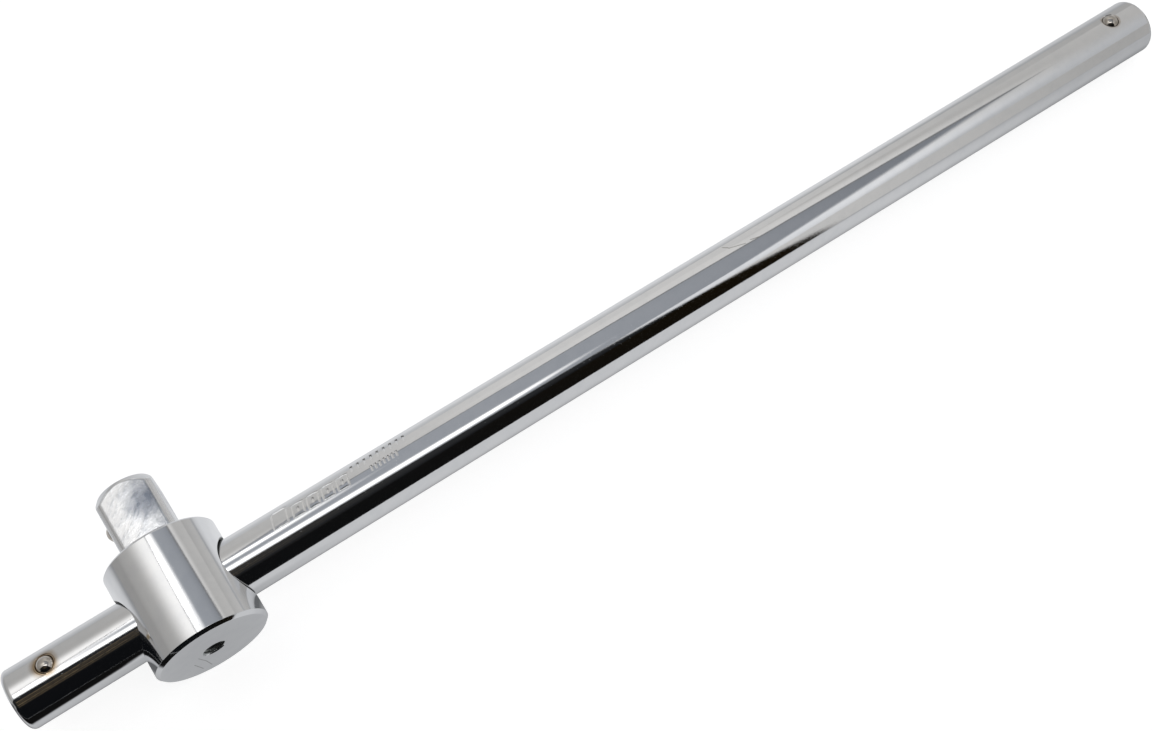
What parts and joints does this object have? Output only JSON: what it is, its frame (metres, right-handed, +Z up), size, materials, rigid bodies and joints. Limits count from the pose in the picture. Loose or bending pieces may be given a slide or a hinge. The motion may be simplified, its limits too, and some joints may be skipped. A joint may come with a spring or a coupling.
{
  "type": "sliding T-handle",
  "caption": "Round chromed bar that slides through a cylindrical head with a square drive; sprung balls hold sockets and stop the head at the bar's ends.",
  "frame": {"origin": "centre of the square drive's end face", "axes": "+Y out of the drive along the head's axis, +X along the bar toward its long end, +Z up with the tool lying on a bench"},
  "size_m": [0.45, 0.06, 0.0372],
  "materials": {
    "bar_chrome": "bright polished chrome plate, with faint lengthwise polishing lines",
    "head_chrome": "bright chrome plate over machined steel, satin on the drive's flats",
    "ball_steel": "polished bearing steel",
    "spring_steel": "drawn spring wire",
    "screw_steel": "black oxide"
  },
  "bodies": {
    "bar": {"sliding_bar": "bar_chrome", "short_end_spring": "spring_steel", "long_end_spring": "spring_steel"},
    "head": {"drive_head": "head_chrome", "base_set_screw": "screw_steel", "drive_spring": "spring_steel", "friction_spring": "spring_steel"},
    "short_end_detent": {"short_end_ball": "ball_steel"},
    "long_end_detent": {"long_end_ball": "ball_steel"},
    "drive_detent": {"drive_ball": "ball_steel"},
    "friction_detent": {"friction_ball": "ball_steel"}
  },
  "joints": [
    {"name": "head_slide", "type": "slide", "parent": "bar", "child": "head", "axis": [1, 0, 0], "range_m": [-0.0258, 0.363]},
    {"name": "short_end_ball_press", "type": "slide", "parent": "bar", "child": "short_end_detent", "axis": [0, -0.2504, -0.9681], "range_m": [0, 0.00135], "stiffness_N_per_m": 6000, "deforming": ["short_end_spring"]},
    {"name": "long_end_ball_press", "type": "slide", "parent": "bar", "child": "long_end_detent", "axis": [0, -0.2504, -0.9681], "range_m": [0, 0.00135], "stiffness_N_per_m": 6000, "deforming": ["long_end_spring"]},
    {"name": "drive_ball_press", "type": "slide", "parent": "head", "child": "drive_detent", "axis": [1, 0, 0], "range_m": [0, 0.0016], "stiffness_N_per_m": 6000, "deforming": ["drive_spring"]},
    {"name": "friction_ball_press", "type": "slide", "parent": "head", "child": "friction_detent", "axis": [0, 1, 0], "range_m": [0, 0.0008], "stiffness_N_per_m": 12000, "deforming": ["friction_spring"]}
  ]
}
